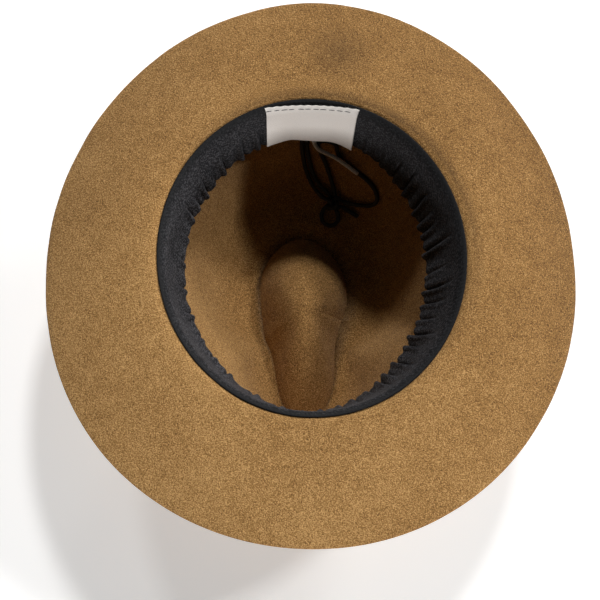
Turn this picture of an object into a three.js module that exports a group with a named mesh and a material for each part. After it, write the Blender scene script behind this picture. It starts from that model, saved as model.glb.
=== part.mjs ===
// Wide-brim felt fedora with a teardrop crown, lying upside down on the crest of its crown.
// Felt body, gathered sweatband, woven label and tied drawstring. Millimetres, +Z up, -Y the front of the
// hat, +X the wearer's right. The origin is under the middle of the brim, on the surface it lies on.
import * as THREE from "three";

// Felt body: the head sizes are inside the felt, at the foot of the crown's wall
const feltThickness = 2.2;
const headWidth = 176.2;
const headLength = 190.2;
const crownHeight = 108;
const breakRadius = 6;
const brimWidth = 70;
const brimDropSide = 19.4;
const brimDropEnd = 6;
const brimCurl = 1.65;

// Teardrop dent in the crown's top, a rounded ridge seen from inside, with a flat land round it that the
// hat lies on. The ridge's section is (1 - place ** ridgeFullness) ** ridgeSteepness.
const dentForward = 14;
const dentAside = -2;
const dentDepth = 34;
const dentFrontDepth = 22;
const ridgeFullness = 1.75;
const ridgeSteepness = 0.95;
const crestLand = 4;
const pinchTurn = 55;
const pinchSpread = 20;

// Sweatband: a ribbon sewn at the brim's break, drawn in along its deep edge
const bandThickness = 1.2;
const bandGap = 0.5;
const bandTop = 1.2;
const bandDepth = 33.5;
const bandDraw = 10;
const gatherCount = 36;
const gatherHeight = 1.7;
const gatherGrowth = 1.5;

// Label: sewn by its top edge to the back of the sweatband, its foot hanging free
const labelWidth = 57;
const labelHeight = 32.4;
const labelThickness = 1;
const labelGap = 0.45;
const labelTop = 2;
const labelHeld = 0.25;

// How far the label's foot stands off at places across it from -0.5 to 0.5. It is flat against the
// ribbon down to the share labelHeld of its height.
const labelFoot = [
  { across: -0.5, off: 3.4 },
  { across: -0.38, off: 1.8 },
  { across: -0.25, off: 0.8 },
  { across: -0.1, off: 1.3 },
  { across: 0.05, off: 1.1 },
  { across: 0.22, off: 0.2 },
  { across: 0.36, off: 1.2 },
  { across: 0.5, off: 2.4 },
];

// Brim outline: turn in degrees from +X towards the back, width as a share of brimWidth
const brimOutline = [
  { turn: 0, width: 1.001 },
  { turn: 45, width: 1.003 },
  { turn: 85, width: 1.005 },
  { turn: 112, width: 0.955 },
  { turn: 145, width: 0.943 },
  { turn: 180, width: 0.954 },
  { turn: 205, width: 1.0 },
  { turn: 230, width: 1.033 },
  { turn: 265, width: 1.025 },
  { turn: 300, width: 1.025 },
  { turn: 330, width: 1.01 },
  { turn: 360, width: 1.001 },
];

// Crown sections from the break to the crest: how far the wall has moved in towards the crest line, at
// the front and back (round), at the sides (sloped) and at the two front pinches (pinched)
const crownSections = [
  { depth: 0, round: 0, sloped: 0, pinched: 0 },
  { depth: 0.15, round: 0.03, sloped: 0.04, pinched: 0.04 },
  { depth: 0.3, round: 0.07, sloped: 0.1, pinched: 0.12 },
  { depth: 0.45, round: 0.12, sloped: 0.18, pinched: 0.26 },
  { depth: 0.6, round: 0.19, sloped: 0.29, pinched: 0.44 },
  { depth: 0.72, round: 0.27, sloped: 0.4, pinched: 0.58 },
  { depth: 0.83, round: 0.38, sloped: 0.53, pinched: 0.73 },
  { depth: 0.91, round: 0.52, sloped: 0.67, pinched: 0.84 },
  { depth: 0.97, round: 0.74, sloped: 0.84, pinched: 0.94 },
  { depth: 1, round: 1, sloped: 1, pinched: 1 },
];

// Crest line round the dent's middle, turn as above: its reach as a share of the head's radius, and the
// foot of the dent's side as a share of that reach
const crestLine = [
  { turn: 0, reach: 0.46, foot: 0.63 },
  { turn: 30, reach: 0.59, foot: 0.65 },
  { turn: 60, reach: 0.7, foot: 0.71 },
  { turn: 90, reach: 0.77, foot: 0.77 },
  { turn: 120, reach: 0.62, foot: 0.78 },
  { turn: 150, reach: 0.435, foot: 0.79 },
  { turn: 180, reach: 0.36, foot: 0.8 },
  { turn: 210, reach: 0.345, foot: 0.87 },
  { turn: 230, reach: 0.37, foot: 0.92 },
  { turn: 245, reach: 0.46, foot: 0.94 },
  { turn: 258, reach: 0.645, foot: 0.95 },
  { turn: 270, reach: 0.79, foot: 0.95 },
  { turn: 282, reach: 0.715, foot: 0.93 },
  { turn: 295, reach: 0.565, foot: 0.9 },
  { turn: 310, reach: 0.455, foot: 0.78 },
  { turn: 330, reach: 0.415, foot: 0.69 },
  { turn: 360, reach: 0.46, foot: 0.63 },
];

// Dent rings: distance from the dent's middle as a share of the way to the foot of its side
const dentRings = [0.98, 0.94, 0.87, 0.78, 0.68, 0.57, 0.46, 0.35, 0.23, 0.12];

// Ribbon and label rows: shares of their depth from the stitched edge, close together over the break
const bandRows = [0, 0.07, 0.18, 0.55, 1];
const labelRows = [0, 0.05, 0.1, 0.17, 0.36, 0.56, 0.78, 1];

// Gathers by turn: how strong they are as a share of gatherHeight, and how far the drawstring pulls
// the ribbon's deep edge in as a share of bandDraw
const gathers = [
  { turn: 0, strength: 1, draw: 1 },
  { turn: 45, strength: 0.9, draw: 0.7 },
  { turn: 75, strength: 0.2, draw: 0.25 },
  { turn: 105, strength: 0.2, draw: 0.2 },
  { turn: 135, strength: 0.6, draw: 0.4 },
  { turn: 180, strength: 0.35, draw: 0.5 },
  { turn: 225, strength: 0.3, draw: 0.45 },
  { turn: 270, strength: 0.4, draw: 0.4 },
  { turn: 315, strength: 0.8, draw: 0.75 },
  { turn: 360, strength: 1, draw: 1 },
];

// Drawstring: its ends leave the ribbon's deep edge at the back and are tied in a bow, which lies on the
// felt inside the crown. The knot's middle and the cord's points are places in the finished hat.
const cordDiameter = 2.8;
const cordSides = 8;
const cordStep = 5.5;
const knotSize = [10, 8, 7.2];
const knotMiddle = [18.3, 67.6, 12.5];
const drawstring = {
  drawstring_left: [
    [-6, 89.9, 72.9],
    [-6, 89.8, 65],
    [-5.6, 89.5, 55.9],
    [-4.5, 87.8, 45.4],
    [-2.6, 85.3, 33],
    [0.6, 81.7, 22.5],
    [4.6, 77.4, 15],
    [9, 73.4, 11.9],
    [13.7, 70.3, 11.4],
  ],
  drawstring_right: [
    [-2.6, 89.9, 72.9],
    [-2.6, 89.8, 65],
    [-2.4, 89.7, 55.6],
    [-0.9, 87.9, 45.2],
    [1.4, 85.2, 33.4],
    [4.7, 81.6, 22.9],
    [9, 78, 17.2],
    [13.4, 74.9, 14.5],
    [16.1, 72, 13.2],
  ],
  drawstring_big_loop: [
    [23.8, 68.6, 13.6],
    [29.6, 66.3, 14.9],
    [37, 63.4, 19.4],
    [43.2, 61.3, 26],
    [45.7, 62.4, 32.6],
    [43.8, 67, 38.2],
    [38.8, 72.6, 41],
    [32.1, 77.6, 42.4],
    [25.3, 81.7, 45.4],
    [19.9, 85, 50],
    [17.2, 86.8, 56],
    [16.6, 87.4, 61.9],
    [14.75, 87.9, 66.2],
    [10.4, 88.5, 68],
    [6.05, 89, 66.2],
    [4.2, 89.3, 61.9],
    [4.7, 89.1, 56],
    [6.8, 88.3, 50],
    [9.6, 86.3, 42.6],
    [12.9, 83.3, 32.9],
    [15.5, 79.5, 24.8],
    [17.9, 75.2, 18.5],
    [18.9, 72, 14.6],
  ],
  drawstring_small_loop: [
    [14.2, 67.2, 9.4],
    [11.5, 65.1, 7.2],
    [9.9, 61.4, 5.3],
    [10.8, 57.2, 4.2],
    [14.2, 54.2, 4],
    [18.6, 54.3, 4.3],
    [21.6, 57.5, 6],
    [21.4, 61.7, 8.1],
    [19.5, 64.2, 9.6],
  ],
  drawstring_tail: [
    [23, 65.7, 11.6],
    [26, 64.2, 10.8],
    [30.1, 61.5, 10.7],
    [34.8, 58.4, 11.5],
  ],
  drawstring_cut_end: [
    [1.3, 89.9, 72.9],
    [1.2, 89.3, 69],
    [2.2, 87.4, 65],
    [4.8, 85.5, 61.6],
    [8.9, 84.6, 58.9],
    [16, 83.1, 54.5],
    [23.6, 80.1, 49.6],
    [31.7, 75.1, 46.6],
  ],
};

// Colours and finishes
const felt = new THREE.MeshStandardMaterial({ color: 0x9e794d, roughness: 0.95, metalness: 0 });
const ribbon = new THREE.MeshStandardMaterial({ color: 0x26262a, roughness: 0.7, metalness: 0 });
const satin = new THREE.MeshStandardMaterial({ color: 0xd8d3cc, roughness: 0.45, metalness: 0 });
const cordBlack = new THREE.MeshStandardMaterial({ color: 0x1a1a1d, roughness: 0.7, metalness: 0 });

const feltSteps = 60;
const brimRings = 5;
const breakRings = 3;
const bandSteps = gatherCount * 4;
const labelSteps = 12;
const knotSides = 10;
const knotRings = 7;
const halfWidth = (headWidth + feltThickness) / 2;
const halfLength = (headLength + feltThickness) / 2;
const topOfFelt = crownHeight - feltThickness / 2;
const breakFoot = topOfFelt - breakRadius;
const mouthRadius = breakRadius + feltThickness / 2;

// One column of a table at a place on its key column, on a smooth curve through the rows.
function read(table, key, column, place) {
  const last = table.length - 1;
  const found = table.findIndex((row) => row[key] >= place);
  const high = found < 0 ? last : Math.max(found, 1);
  const slope = (from, to) =>
    (table[to][column] - table[from][column]) / (table[to][key] - table[from][key]);
  const run = table[high][key] - table[high - 1][key];
  const share = THREE.MathUtils.clamp((place - table[high - 1][key]) / run, 0, 1);
  const start = slope(Math.max(high - 2, 0), high) * run;
  const end = slope(high - 1, Math.min(high + 1, last)) * run;
  const back = 1 - share;
  return (
    table[high - 1][column] * back * back * (1 + 2 * share) +
    table[high][column] * share * share * (1 + 2 * back) +
    start * share * back * back -
    end * share * share * back
  );
}

const degrees = (angle) => (THREE.MathUtils.radToDeg(angle) + 360) % 360;

// Degrees between an angle and the front of the hat, the same on both sides.
function turnFromFront(angle) {
  const turn = Math.abs(degrees(angle) - 270);
  return Math.min(turn, 360 - turn);
}

// A place on the oval of the crown's wall, moved outward by a distance, at a height.
function onOval(angle, outward, z) {
  const [x, y] = [halfLength * Math.cos(angle), halfWidth * Math.sin(angle)];
  const scale = outward / Math.hypot(x, y);
  return new THREE.Vector3(
    halfWidth * Math.cos(angle) + x * scale,
    halfLength * Math.sin(angle) + y * scale,
    z,
  );
}

function brimPoint(angle, share) {
  const width = brimWidth * read(brimOutline, "turn", "width", degrees(angle));
  const drop = brimDropSide * Math.cos(angle) ** 2 + brimDropEnd * Math.sin(angle) ** 2;
  const outward = THREE.MathUtils.lerp(breakRadius, width, share);
  return onOval(angle, outward, topOfFelt - drop * share ** brimCurl);
}

function breakPoint(angle, share) {
  const turned = (share * Math.PI) / 2;
  const outward = breakRadius * (1 - Math.sin(turned));
  return onOval(angle, outward, breakFoot + breakRadius * Math.cos(turned));
}

function crestReach(angle) {
  const head = Math.hypot(halfWidth * Math.cos(angle), halfLength * Math.sin(angle));
  return head * read(crestLine, "turn", "reach", degrees(angle));
}

// A place over the dent, at a share of the way from its middle to the crest line.
function overDent(angle, share, z) {
  const reach = crestReach(angle) * share;
  return new THREE.Vector3(
    dentAside + reach * Math.cos(angle),
    -dentForward + reach * Math.sin(angle),
    z,
  );
}

function wallPoint(angle, depth) {
  const pinch = Math.exp(-(((turnFromFront(angle) - pinchTurn) / pinchSpread) ** 2));
  const round = read(crownSections, "depth", "round", depth);
  const sloped = read(crownSections, "depth", "sloped", depth);
  const pinched = read(crownSections, "depth", "pinched", depth);
  const plain = THREE.MathUtils.lerp(round, sloped, Math.cos(angle) ** 2);
  const inward = THREE.MathUtils.lerp(plain, pinched, pinch);
  const place = onOval(angle, 0, 0).lerp(overDent(angle, 1, 0), inward);
  return place.setZ(THREE.MathUtils.lerp(breakFoot, feltThickness / 2, depth));
}

// The foot of the dent's side as a share of the crest line's reach.
const footShare = (angle) =>
  Math.min(read(crestLine, "turn", "foot", degrees(angle)), 1 - crestLand / crestReach(angle));

// The dent, at a share of the way from its middle to the foot of its side.
function dentPoint(angle, share) {
  const place = overDent(angle, share * footShare(angle), 0);
  const forward = THREE.MathUtils.clamp(0.5 - (place.y + dentForward) / headLength, 0, 1);
  const depth = THREE.MathUtils.lerp(dentDepth, dentFrontDepth, forward);
  const rise = (1 - share ** ridgeFullness) ** ridgeSteepness;
  return place.setZ(feltThickness / 2 + depth * rise);
}

// How far the felt's inner face is from the middle of its bend at a depth under the opening, in plan.
function flareReach(depth) {
  const above = Math.max(mouthRadius - depth, 0);
  return Math.sqrt(mouthRadius ** 2 - above ** 2);
}

// A place on the felt's inner face in the mouth of the crown, at a depth under the opening, moved inward.
function inMouth(angle, depth, inward) {
  const flare = breakRadius - flareReach(depth);
  const wallDepth = Math.max(0, (depth - mouthRadius) / (breakFoot - feltThickness / 2));
  const out = onOval(angle, 1, 0).sub(onOval(angle, 0, 0));
  return wallPoint(angle, wallDepth)
    .addScaledVector(out, flare - inward)
    .setZ(crownHeight - depth);
}

// How far the ribbon's gathers swing at a place, to each side.
function gatherSwing(angle, share) {
  return gatherHeight * read(gathers, "turn", "strength", degrees(angle)) * share ** gatherGrowth;
}

// How far the ribbon's middle lies inside the felt, gathers apart.
function bandInset(angle, share) {
  const draw = bandDraw * read(gathers, "turn", "draw", degrees(angle));
  return bandGap + bandThickness / 2 + draw * share;
}

// The ribbon's middle, at a share of its depth.
function bandPoint(angle, share) {
  const gather = gatherSwing(angle, share) * Math.cos(gatherCount * angle);
  return inMouth(angle, bandTop + bandDepth * share, bandInset(angle, share) + gather);
}

// The label's middle: across its width from -0.5 to 0.5, and a share of the way down.
function labelPoint(across, down) {
  const depth = labelTop + down * labelHeight;
  const share = (depth - bandTop) / bandDepth;
  const off = read(labelFoot, "across", "off", across);
  const free = off * THREE.MathUtils.smoothstep(down, labelHeld, 1);
  const back = Math.PI / 2;
  const apart = (bandThickness + labelThickness) / 2 + labelGap;
  const clear = (apart * mouthRadius) / flareReach(depth) + gatherSwing(back, share) + free;
  const angle = back + (across * labelWidth) / (halfWidth - bandInset(back, share) - clear);
  return inMouth(angle, depth, bandInset(angle, share) + clear);
}

// A closed sheet round a grid of middle points: rings across its length, columns round it.
function thickSheet(rings, thickness, { wraps, pole }, level = []) {
  const columns = rings[0].length;
  const last = rings.length - 1;
  const around = (column) => (wraps ? (column + columns) % columns : column);
  const at = (ring, column) =>
    rings[THREE.MathUtils.clamp(ring, 0, last)][
      wraps ? around(column) : THREE.MathUtils.clamp(column, 0, columns - 1)
    ];
  const positions = [];
  rings.forEach((points, ring) =>
    points.forEach((point, column) => {
      const along = at(ring, column + 1).clone().sub(at(ring, column - 1));
      const inward = at(ring + 1, column).clone().sub(at(ring - 1, column));
      const normal = level[ring]
        ? new THREE.Vector3(0, 0, 1)
        : new THREE.Vector3().crossVectors(along, inward).normalize();
      for (const side of [0.5, -0.5]) {
        positions.push(...point.clone().addScaledVector(normal, side * thickness));
      }
    }),
  );
  const front = (ring, column) => 2 * (ring * columns + around(column));
  const back = (ring, column) => front(ring, column) + 1;
  const index = [];
  const quad = (a, b, c, d) => index.push(a, b, c, b, d, c);
  const spans = wraps ? columns : columns - 1;
  for (let column = 0; column < spans; column += 1) {
    for (let ring = 0; ring < last; ring += 1) {
      const tip = pole && ring === last - 1;
      if (tip) {
        index.push(front(ring, column), front(ring, column + 1), front(last, 0));
        index.push(back(ring, column + 1), back(ring, column), back(last, 0));
        continue;
      }
      quad(
        front(ring, column),
        front(ring, column + 1),
        front(ring + 1, column),
        front(ring + 1, column + 1),
      );
      quad(
        back(ring, column + 1),
        back(ring, column),
        back(ring + 1, column + 1),
        back(ring + 1, column),
      );
    }
    quad(back(0, column), back(0, column + 1), front(0, column), front(0, column + 1));
    if (!pole) {
      quad(
        front(last, column),
        front(last, column + 1),
        back(last, column),
        back(last, column + 1),
      );
    }
  }
  for (let ring = 0; !wraps && ring < last; ring += 1) {
    quad(back(ring, 0), front(ring, 0), back(ring + 1, 0), front(ring + 1, 0));
    quad(
      front(ring, spans),
      back(ring, spans),
      front(ring + 1, spans),
      back(ring + 1, spans),
    );
  }
  const geometry = new THREE.BufferGeometry();
  geometry.setAttribute("position", new THREE.Float32BufferAttribute(positions, 3));
  geometry.setIndex(index);
  geometry.computeVertexNormals();
  return geometry;
}

// Points of a ring all the way round, from one function of the angle.
const ringOf = (steps, at) =>
  Array.from({ length: steps }, (_, step) => at((2 * Math.PI * step) / steps));

const spaced = (from, to, steps) =>
  Array.from({ length: steps + 1 }, (_, step) => THREE.MathUtils.lerp(from, to, step / steps));

// The felt's rings from the brim's edge to the dent's middle; a level ring keeps its faces level.
function feltGeometry() {
  const rings = [
    ...spaced(1, 0, brimRings).map((share) => ({
      at: (angle) => brimPoint(angle, share),
      level: share === 0,
    })),
    ...spaced(0, 1, breakRings)
      .slice(1)
      .map((share) => ({ at: (angle) => breakPoint(angle, share) })),
    ...crownSections.slice(1, -1).map((row) => ({ at: (angle) => wallPoint(angle, row.depth) })),
    { at: (angle) => wallPoint(angle, 1), level: true },
    { at: (angle) => dentPoint(angle, 1), level: true },
    ...dentRings.map((share) => ({ at: (angle) => dentPoint(angle, share) })),
    { at: (angle) => dentPoint(angle, 0), level: true },
  ];
  const points = rings.map((ring) => ringOf(feltSteps, ring.at));
  const level = rings.map((ring) => Boolean(ring.level));
  return thickSheet(points, feltThickness, { wraps: true, pole: true }, level);
}

function bandGeometry() {
  const points = bandRows.map((share) => ringOf(bandSteps, (angle) => bandPoint(angle, share)));
  return thickSheet(points, bandThickness, { wraps: true, pole: false });
}

function labelGeometry() {
  const columns = spaced(-0.5, 0.5, labelSteps);
  const points = labelRows.map((down) => columns.map((across) => labelPoint(across, down)));
  return thickSheet(points, labelThickness, { wraps: false, pole: false });
}

// A cord round the smooth curve through its points.
function cordGeometry(points) {
  const path = new THREE.CatmullRomCurve3(points.map((point) => new THREE.Vector3(...point)));
  const circle = new THREE.EllipseCurve(0, 0, cordDiameter / 2, cordDiameter / 2);
  const section = new THREE.Shape(circle.getPoints(cordSides).slice(0, cordSides));
  const steps = Math.round(path.getLength() / cordStep);
  return new THREE.ExtrudeGeometry(section, { steps, extrudePath: path, bevelEnabled: false });
}

function piece(name, geometry, material) {
  const mesh = new THREE.Mesh(geometry, material);
  mesh.name = name;
  return mesh;
}

const hat = new THREE.Group();
hat.add(piece("felt_body", feltGeometry(), felt));
hat.add(piece("sweatband", bandGeometry(), ribbon));
hat.add(piece("label", labelGeometry(), satin));

// The brim isn't quite even, so the hat is moved until the middle of its brim is over the origin.
const middle = new THREE.Box3().setFromObject(hat).getCenter(new THREE.Vector3());
hat.position.set(-middle.x, -middle.y, 0);

const group = new THREE.Group();
group.add(hat);
for (const [name, points] of Object.entries(drawstring)) {
  group.add(piece(name, cordGeometry(points), cordBlack));
}
const knot = piece("drawstring_knot", new THREE.SphereGeometry(0.5, knotSides, knotRings), cordBlack);
knot.scale.set(...knotSize);
knot.position.set(...knotMiddle);
group.add(knot);
export default group;
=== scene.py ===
"""Looks of the wide-brim felt fedora: felt body, gathered sweatband, blank label and tied drawstring.

The shapes follow the same named sizes and tables as the CAD source. Lengths in the geometry functions are
in millimetres and turns in degrees from +X towards the back; meshes are written in metres.
"""

import math

import bpy
import numpy as np
from mathutils import Matrix, Vector


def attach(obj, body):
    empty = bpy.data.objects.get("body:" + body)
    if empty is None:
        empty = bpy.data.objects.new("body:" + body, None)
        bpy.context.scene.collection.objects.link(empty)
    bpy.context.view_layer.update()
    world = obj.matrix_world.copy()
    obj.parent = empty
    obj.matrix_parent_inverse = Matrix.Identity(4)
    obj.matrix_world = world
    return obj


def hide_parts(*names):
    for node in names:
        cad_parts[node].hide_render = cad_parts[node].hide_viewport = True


MM = 0.001

# Camera: its place and the place it looks at, in metres, and its angle of view
CAMERA_AT = (-0.03303, -0.1899, 0.676)
CAMERA_AIM = (-0.00913, -0.029, 0.108)
SENSOR_WIDTH = 36
LENS = 61.92

# Lights: turn and height in degrees, and share of a white sheet's brightness
LIGHTS = [
    ("right_light", 18, 42, 0.38),
    ("back_light", 75, 50, 0.5),
    ("back_left_light", 118, 36, 0.19),
    ("low_front_light", 277, 9, 0.68),
    ("low_right_light", 42, 24, 0.2),
    ("low_back_light", 68, 8, 0.17),
]
LIGHT_DISTANCE = 4
LIGHT_SIZE = 0.45
WORLD_COLOUR = (1, 0.98, 0.96, 1)
WORLD_STRENGTH = 0.02
FLOOR_SIZE = 6
FLOOR_HEIGHT = -0.0002
FLOOR_GLOW = 0.36

# Turns of the hat's back and front
BACK = 90
FRONT = 270

# Felt body
FELT_THICKNESS = 2.2
HEAD_WIDTH = 176.2
HEAD_LENGTH = 190.2
CROWN_HEIGHT = 108
BREAK_RADIUS = 6
BRIM_WIDTH = 70
BRIM_DROP_SIDE = 19.4
BRIM_DROP_END = 6
BRIM_CURL = 1.65
HALF_WIDTH = (HEAD_WIDTH + FELT_THICKNESS) / 2
HALF_LENGTH = (HEAD_LENGTH + FELT_THICKNESS) / 2
TOP_OF_FELT = CROWN_HEIGHT - FELT_THICKNESS / 2
BREAK_FOOT = TOP_OF_FELT - BREAK_RADIUS
MOUTH_RADIUS = BREAK_RADIUS + FELT_THICKNESS / 2

# The brim's rounded edge: how far out it stands, in half thicknesses, and at its corners the share of that
# and of the way from one face to the other
BRIM_EDGE = 0.5
BRIM_EDGE_STEPS = [(0.7, 0.08), (1, 0.3)]

# Unevenness of the felt: height and size of its bumps and their seed; it fades out between two heights
UNEVENNESS = [(0.35, 90, 1), (0.1, 26, 2), (0.05, 9, 3)]
EVEN_BELOW = (2, 12)

# Painted shade on the felt, in metres: the oval of the break, the painted shade round it (its middle as a
# share of that oval, and its reach inward and outward) with the way to its darker side, and the middle and
# reach of a patch of painted shade on the brim
BREAK_WIDE = (HALF_WIDTH + BREAK_RADIUS) * MM
BREAK_LONG = (HALF_LENGTH + BREAK_RADIUS) * MM
PAINTED_BREAK_SHADE_RING = (0.99, 0.03, 0.06)
PAINTED_SHADE_WAY = (0.5, 0.86, 0)
PAINTED_SHADE_PATCH = (0.015, 0.13, 0.105)
PAINTED_SHADE_PATCH_REACH = 0.024

# Painted shade low in the crown: it sets in under a place along a way, in metres, and is full a run below
# that
DEEP_SHADE_WAY = (-0.45, 0, 1)
DEEP_SHADE_UNDER = 0.05
DEEP_SHADE_RUN = 0.025
DEEP_SHADE_STRENGTH = 0.12

# Painted light and shade: the way to the side where the felt and the ribbon are painted lighter, and how
# much, per metre
PAINTED_LIGHT_WAY = (-0.6, -0.8, 0)
PAINTED_LIGHT_STRENGTH = 0.8
RIBBON_PAINTED_LIGHT_WAY = (-0.6, -0.8, 0)
RIBBON_PAINTED_LIGHT_STRENGTH = 6

# Dent in the crown's top
DENT_FORWARD = 14
DENT_ASIDE = -2
DENT_DEPTH = 34
DENT_FRONT_DEPTH = 22
RIDGE_FULLNESS = 1.75
RIDGE_STEEPNESS = 0.95
CREST_LAND = 4
PINCH_TURN = 55
PINCH_SPREAD = 20

# Sweatband
BAND_THICKNESS = 0.9
BAND_GAP = 0.5
BAND_SOLID_THICKNESS = 1.2
BAND_TOP = 1.2
BAND_DEPTH = 33.5
BAND_DRAW = 10
BAND_HEM = (0.86, 0.97)
BAND_HEM_FULLNESS = 0.35
# Depth of the ribbon's darker top edge: partly its binding, partly painted shade where it meets the felt's
# break
RIBBON_EDGE = 4.2

# A tuck across the ribbon: height as a share of its depth, middle and spread of its notch, its roll and a
# rise on the other side; how much further up than its reach it starts, and where it is full
TUCK_PROFILE = [(-1.4, 0, 1.2), (1.9, 2.8, 2.1), (0.8, -3.8, 2.8)]
TUCK_RUN = 1.35
TUCK_FULL = 0.94

# Loose waves of the ribbon: their height, and size and seed of those along X and along Y
BAND_WAVE_HEIGHT = 0.3
BAND_WAVES = [(17, 5), (21, 6)]

# Stitches along the ribbon's top, on that row of its mesh
RIBBON_STITCH_ROW = 1
RIBBON_STITCH_PITCH = 3.05
RIBBON_STITCH_LENGTH = 1.5
RIBBON_STITCH_THICKNESS = 0.35

# Label
LABEL_WIDTH = 57
LABEL_HEIGHT = 33
LABEL_THICKNESS = 0.5
LABEL_GAP = 0.25
LABEL_TOP = 1.6
LABEL_HELD = 0.25
LABEL_STRAIGHT = 1.9
LABEL_CORNERS = 0.7
LABEL_LEAN = 0.4
LABEL_HEM = (0.925, 0.94)
LABEL_HEM_FULLNESS = 0.12
LABEL_PUCKER = 0.16
LABEL_PUCKER_DOWN = 0.07

# Stitches that hold the label, so far down it
LABEL_STITCH_DOWN = 2.0
LABEL_STITCH_PITCH = 4.75
LABEL_STITCH_LENGTH = 4.4
LABEL_STITCH_THICKNESS = 0.42

# How far a cloth's rounded edges stand out, in half thicknesses
SHEET_EDGE = 0.7

# Cord: the twist of its braid in radians per millimetre, its height, and the width of the last rings
CORD_DIAMETER = 2.8
BRAID_TWIST = 1.6
BRAID_HEIGHT = 0.07
CORD_TAPER = (0.72, 0.92, 1.0)

# Brim outline: turn, width as a share of BRIM_WIDTH
BRIM_OUTLINE = np.array(
    [
        (0, 1.001),
        (45, 1.003),
        (85, 1.005),
        (112, 0.955),
        (145, 0.943),
        (180, 0.954),
        (205, 1.0),
        (230, 1.033),
        (265, 1.025),
        (300, 1.025),
        (330, 1.01),
        (360, 1.001),
    ]
)

# Crown sections: depth, then how far the wall has moved in at the ends, the sides and the two pinches
CROWN_SECTIONS = np.array(
    [
        (0, 0, 0, 0),
        (0.15, 0.03, 0.04, 0.04),
        (0.3, 0.07, 0.1, 0.12),
        (0.45, 0.12, 0.18, 0.26),
        (0.6, 0.19, 0.29, 0.44),
        (0.72, 0.27, 0.4, 0.58),
        (0.83, 0.38, 0.53, 0.73),
        (0.91, 0.52, 0.67, 0.84),
        (0.97, 0.74, 0.84, 0.94),
        (1, 1, 1, 1),
    ]
)

# Crest line: turn, reach as a share of the head's radius, foot of the dent's side as a share of the reach
CREST_LINE = np.array(
    [
        (0, 0.46, 0.63),
        (30, 0.59, 0.65),
        (60, 0.7, 0.71),
        (90, 0.77, 0.77),
        (120, 0.62, 0.78),
        (150, 0.435, 0.79),
        (180, 0.36, 0.8),
        (210, 0.345, 0.87),
        (230, 0.37, 0.92),
        (245, 0.46, 0.94),
        (258, 0.645, 0.95),
        (270, 0.79, 0.95),
        (282, 0.715, 0.93),
        (295, 0.565, 0.9),
        (310, 0.455, 0.78),
        (330, 0.415, 0.69),
        (360, 0.46, 0.63),
    ]
)

# Drawing in of the ribbon's deep edge: turn, share of BAND_DRAW
BAND_DRAWN = np.array(
    [
        (0, 1),
        (45, 0.7),
        (75, 0.25),
        (105, 0.2),
        (135, 0.4),
        (180, 0.5),
        (225, 0.45),
        (270, 0.4),
        (315, 0.75),
        (360, 1),
    ]
)

# Tucks of the ribbon: turn, depth in millimetres, share of the ribbon's depth they run up from its edge
TUCKS = np.array(
    [
        (9.2, 1.6, 0.65),
        (17.8, 1.1, 0.4),
        (22.8, 0.9, 0.45),
        (29.5, 1.4, 0.6),
        (39.5, 1.3, 0.6),
        (47, 1.0, 0.5),
        (56, 0.7, 0.4),
        (66, 0.5, 0.4),
        (78, 0.3, 0.3),
        (90, 0.3, 0.3),
        (101, 0.5, 0.4),
        (111.8, 1.4, 0.5),
        (120.5, 1.5, 0.55),
        (131.2, 1.4, 0.5),
        (138, 0.6, 0.3),
        (144, 1.3, 0.5),
        (151.2, 0.6, 0.35),
        (157, 0.7, 0.4),
        (166, 0.5, 0.35),
        (177, 0.5, 0.35),
        (188.5, 0.8, 0.4),
        (200, 0.7, 0.4),
        (211, 0.4, 0.3),
        (221, 0.4, 0.3),
        (230.5, 0.8, 0.5),
        (244.5, 0.8, 0.5),
        (256.5, 0.6, 0.4),
        (265, 0.5, 0.4),
        (276, 0.8, 0.45),
        (283.8, 0.7, 0.4),
        (289.8, 0.8, 0.45),
        (297, 0.6, 0.4),
        (303.5, 1.3, 0.55),
        (308.5, 1.1, 0.5),
        (315, 1.6, 0.65),
        (324.5, 1.0, 0.45),
        (330, 1.5, 0.65),
        (337.5, 1.0, 0.45),
        (344.5, 1.3, 0.55),
        (351.2, 1.6, 0.65),
        (358.5, 0.8, 0.45),
    ]
)

# How far the label's foot stands off: place across, from -0.5 to 0.5, and millimetres
LABEL_FOOT = np.array(
    [(-0.5, 2.4), (-0.36, 1.2), (-0.22, 0.2), (-0.05, 1.1), (0.1, 1.3), (0.25, 0.8), (0.38, 1.8), (0.5, 3.4)]
)

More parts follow.
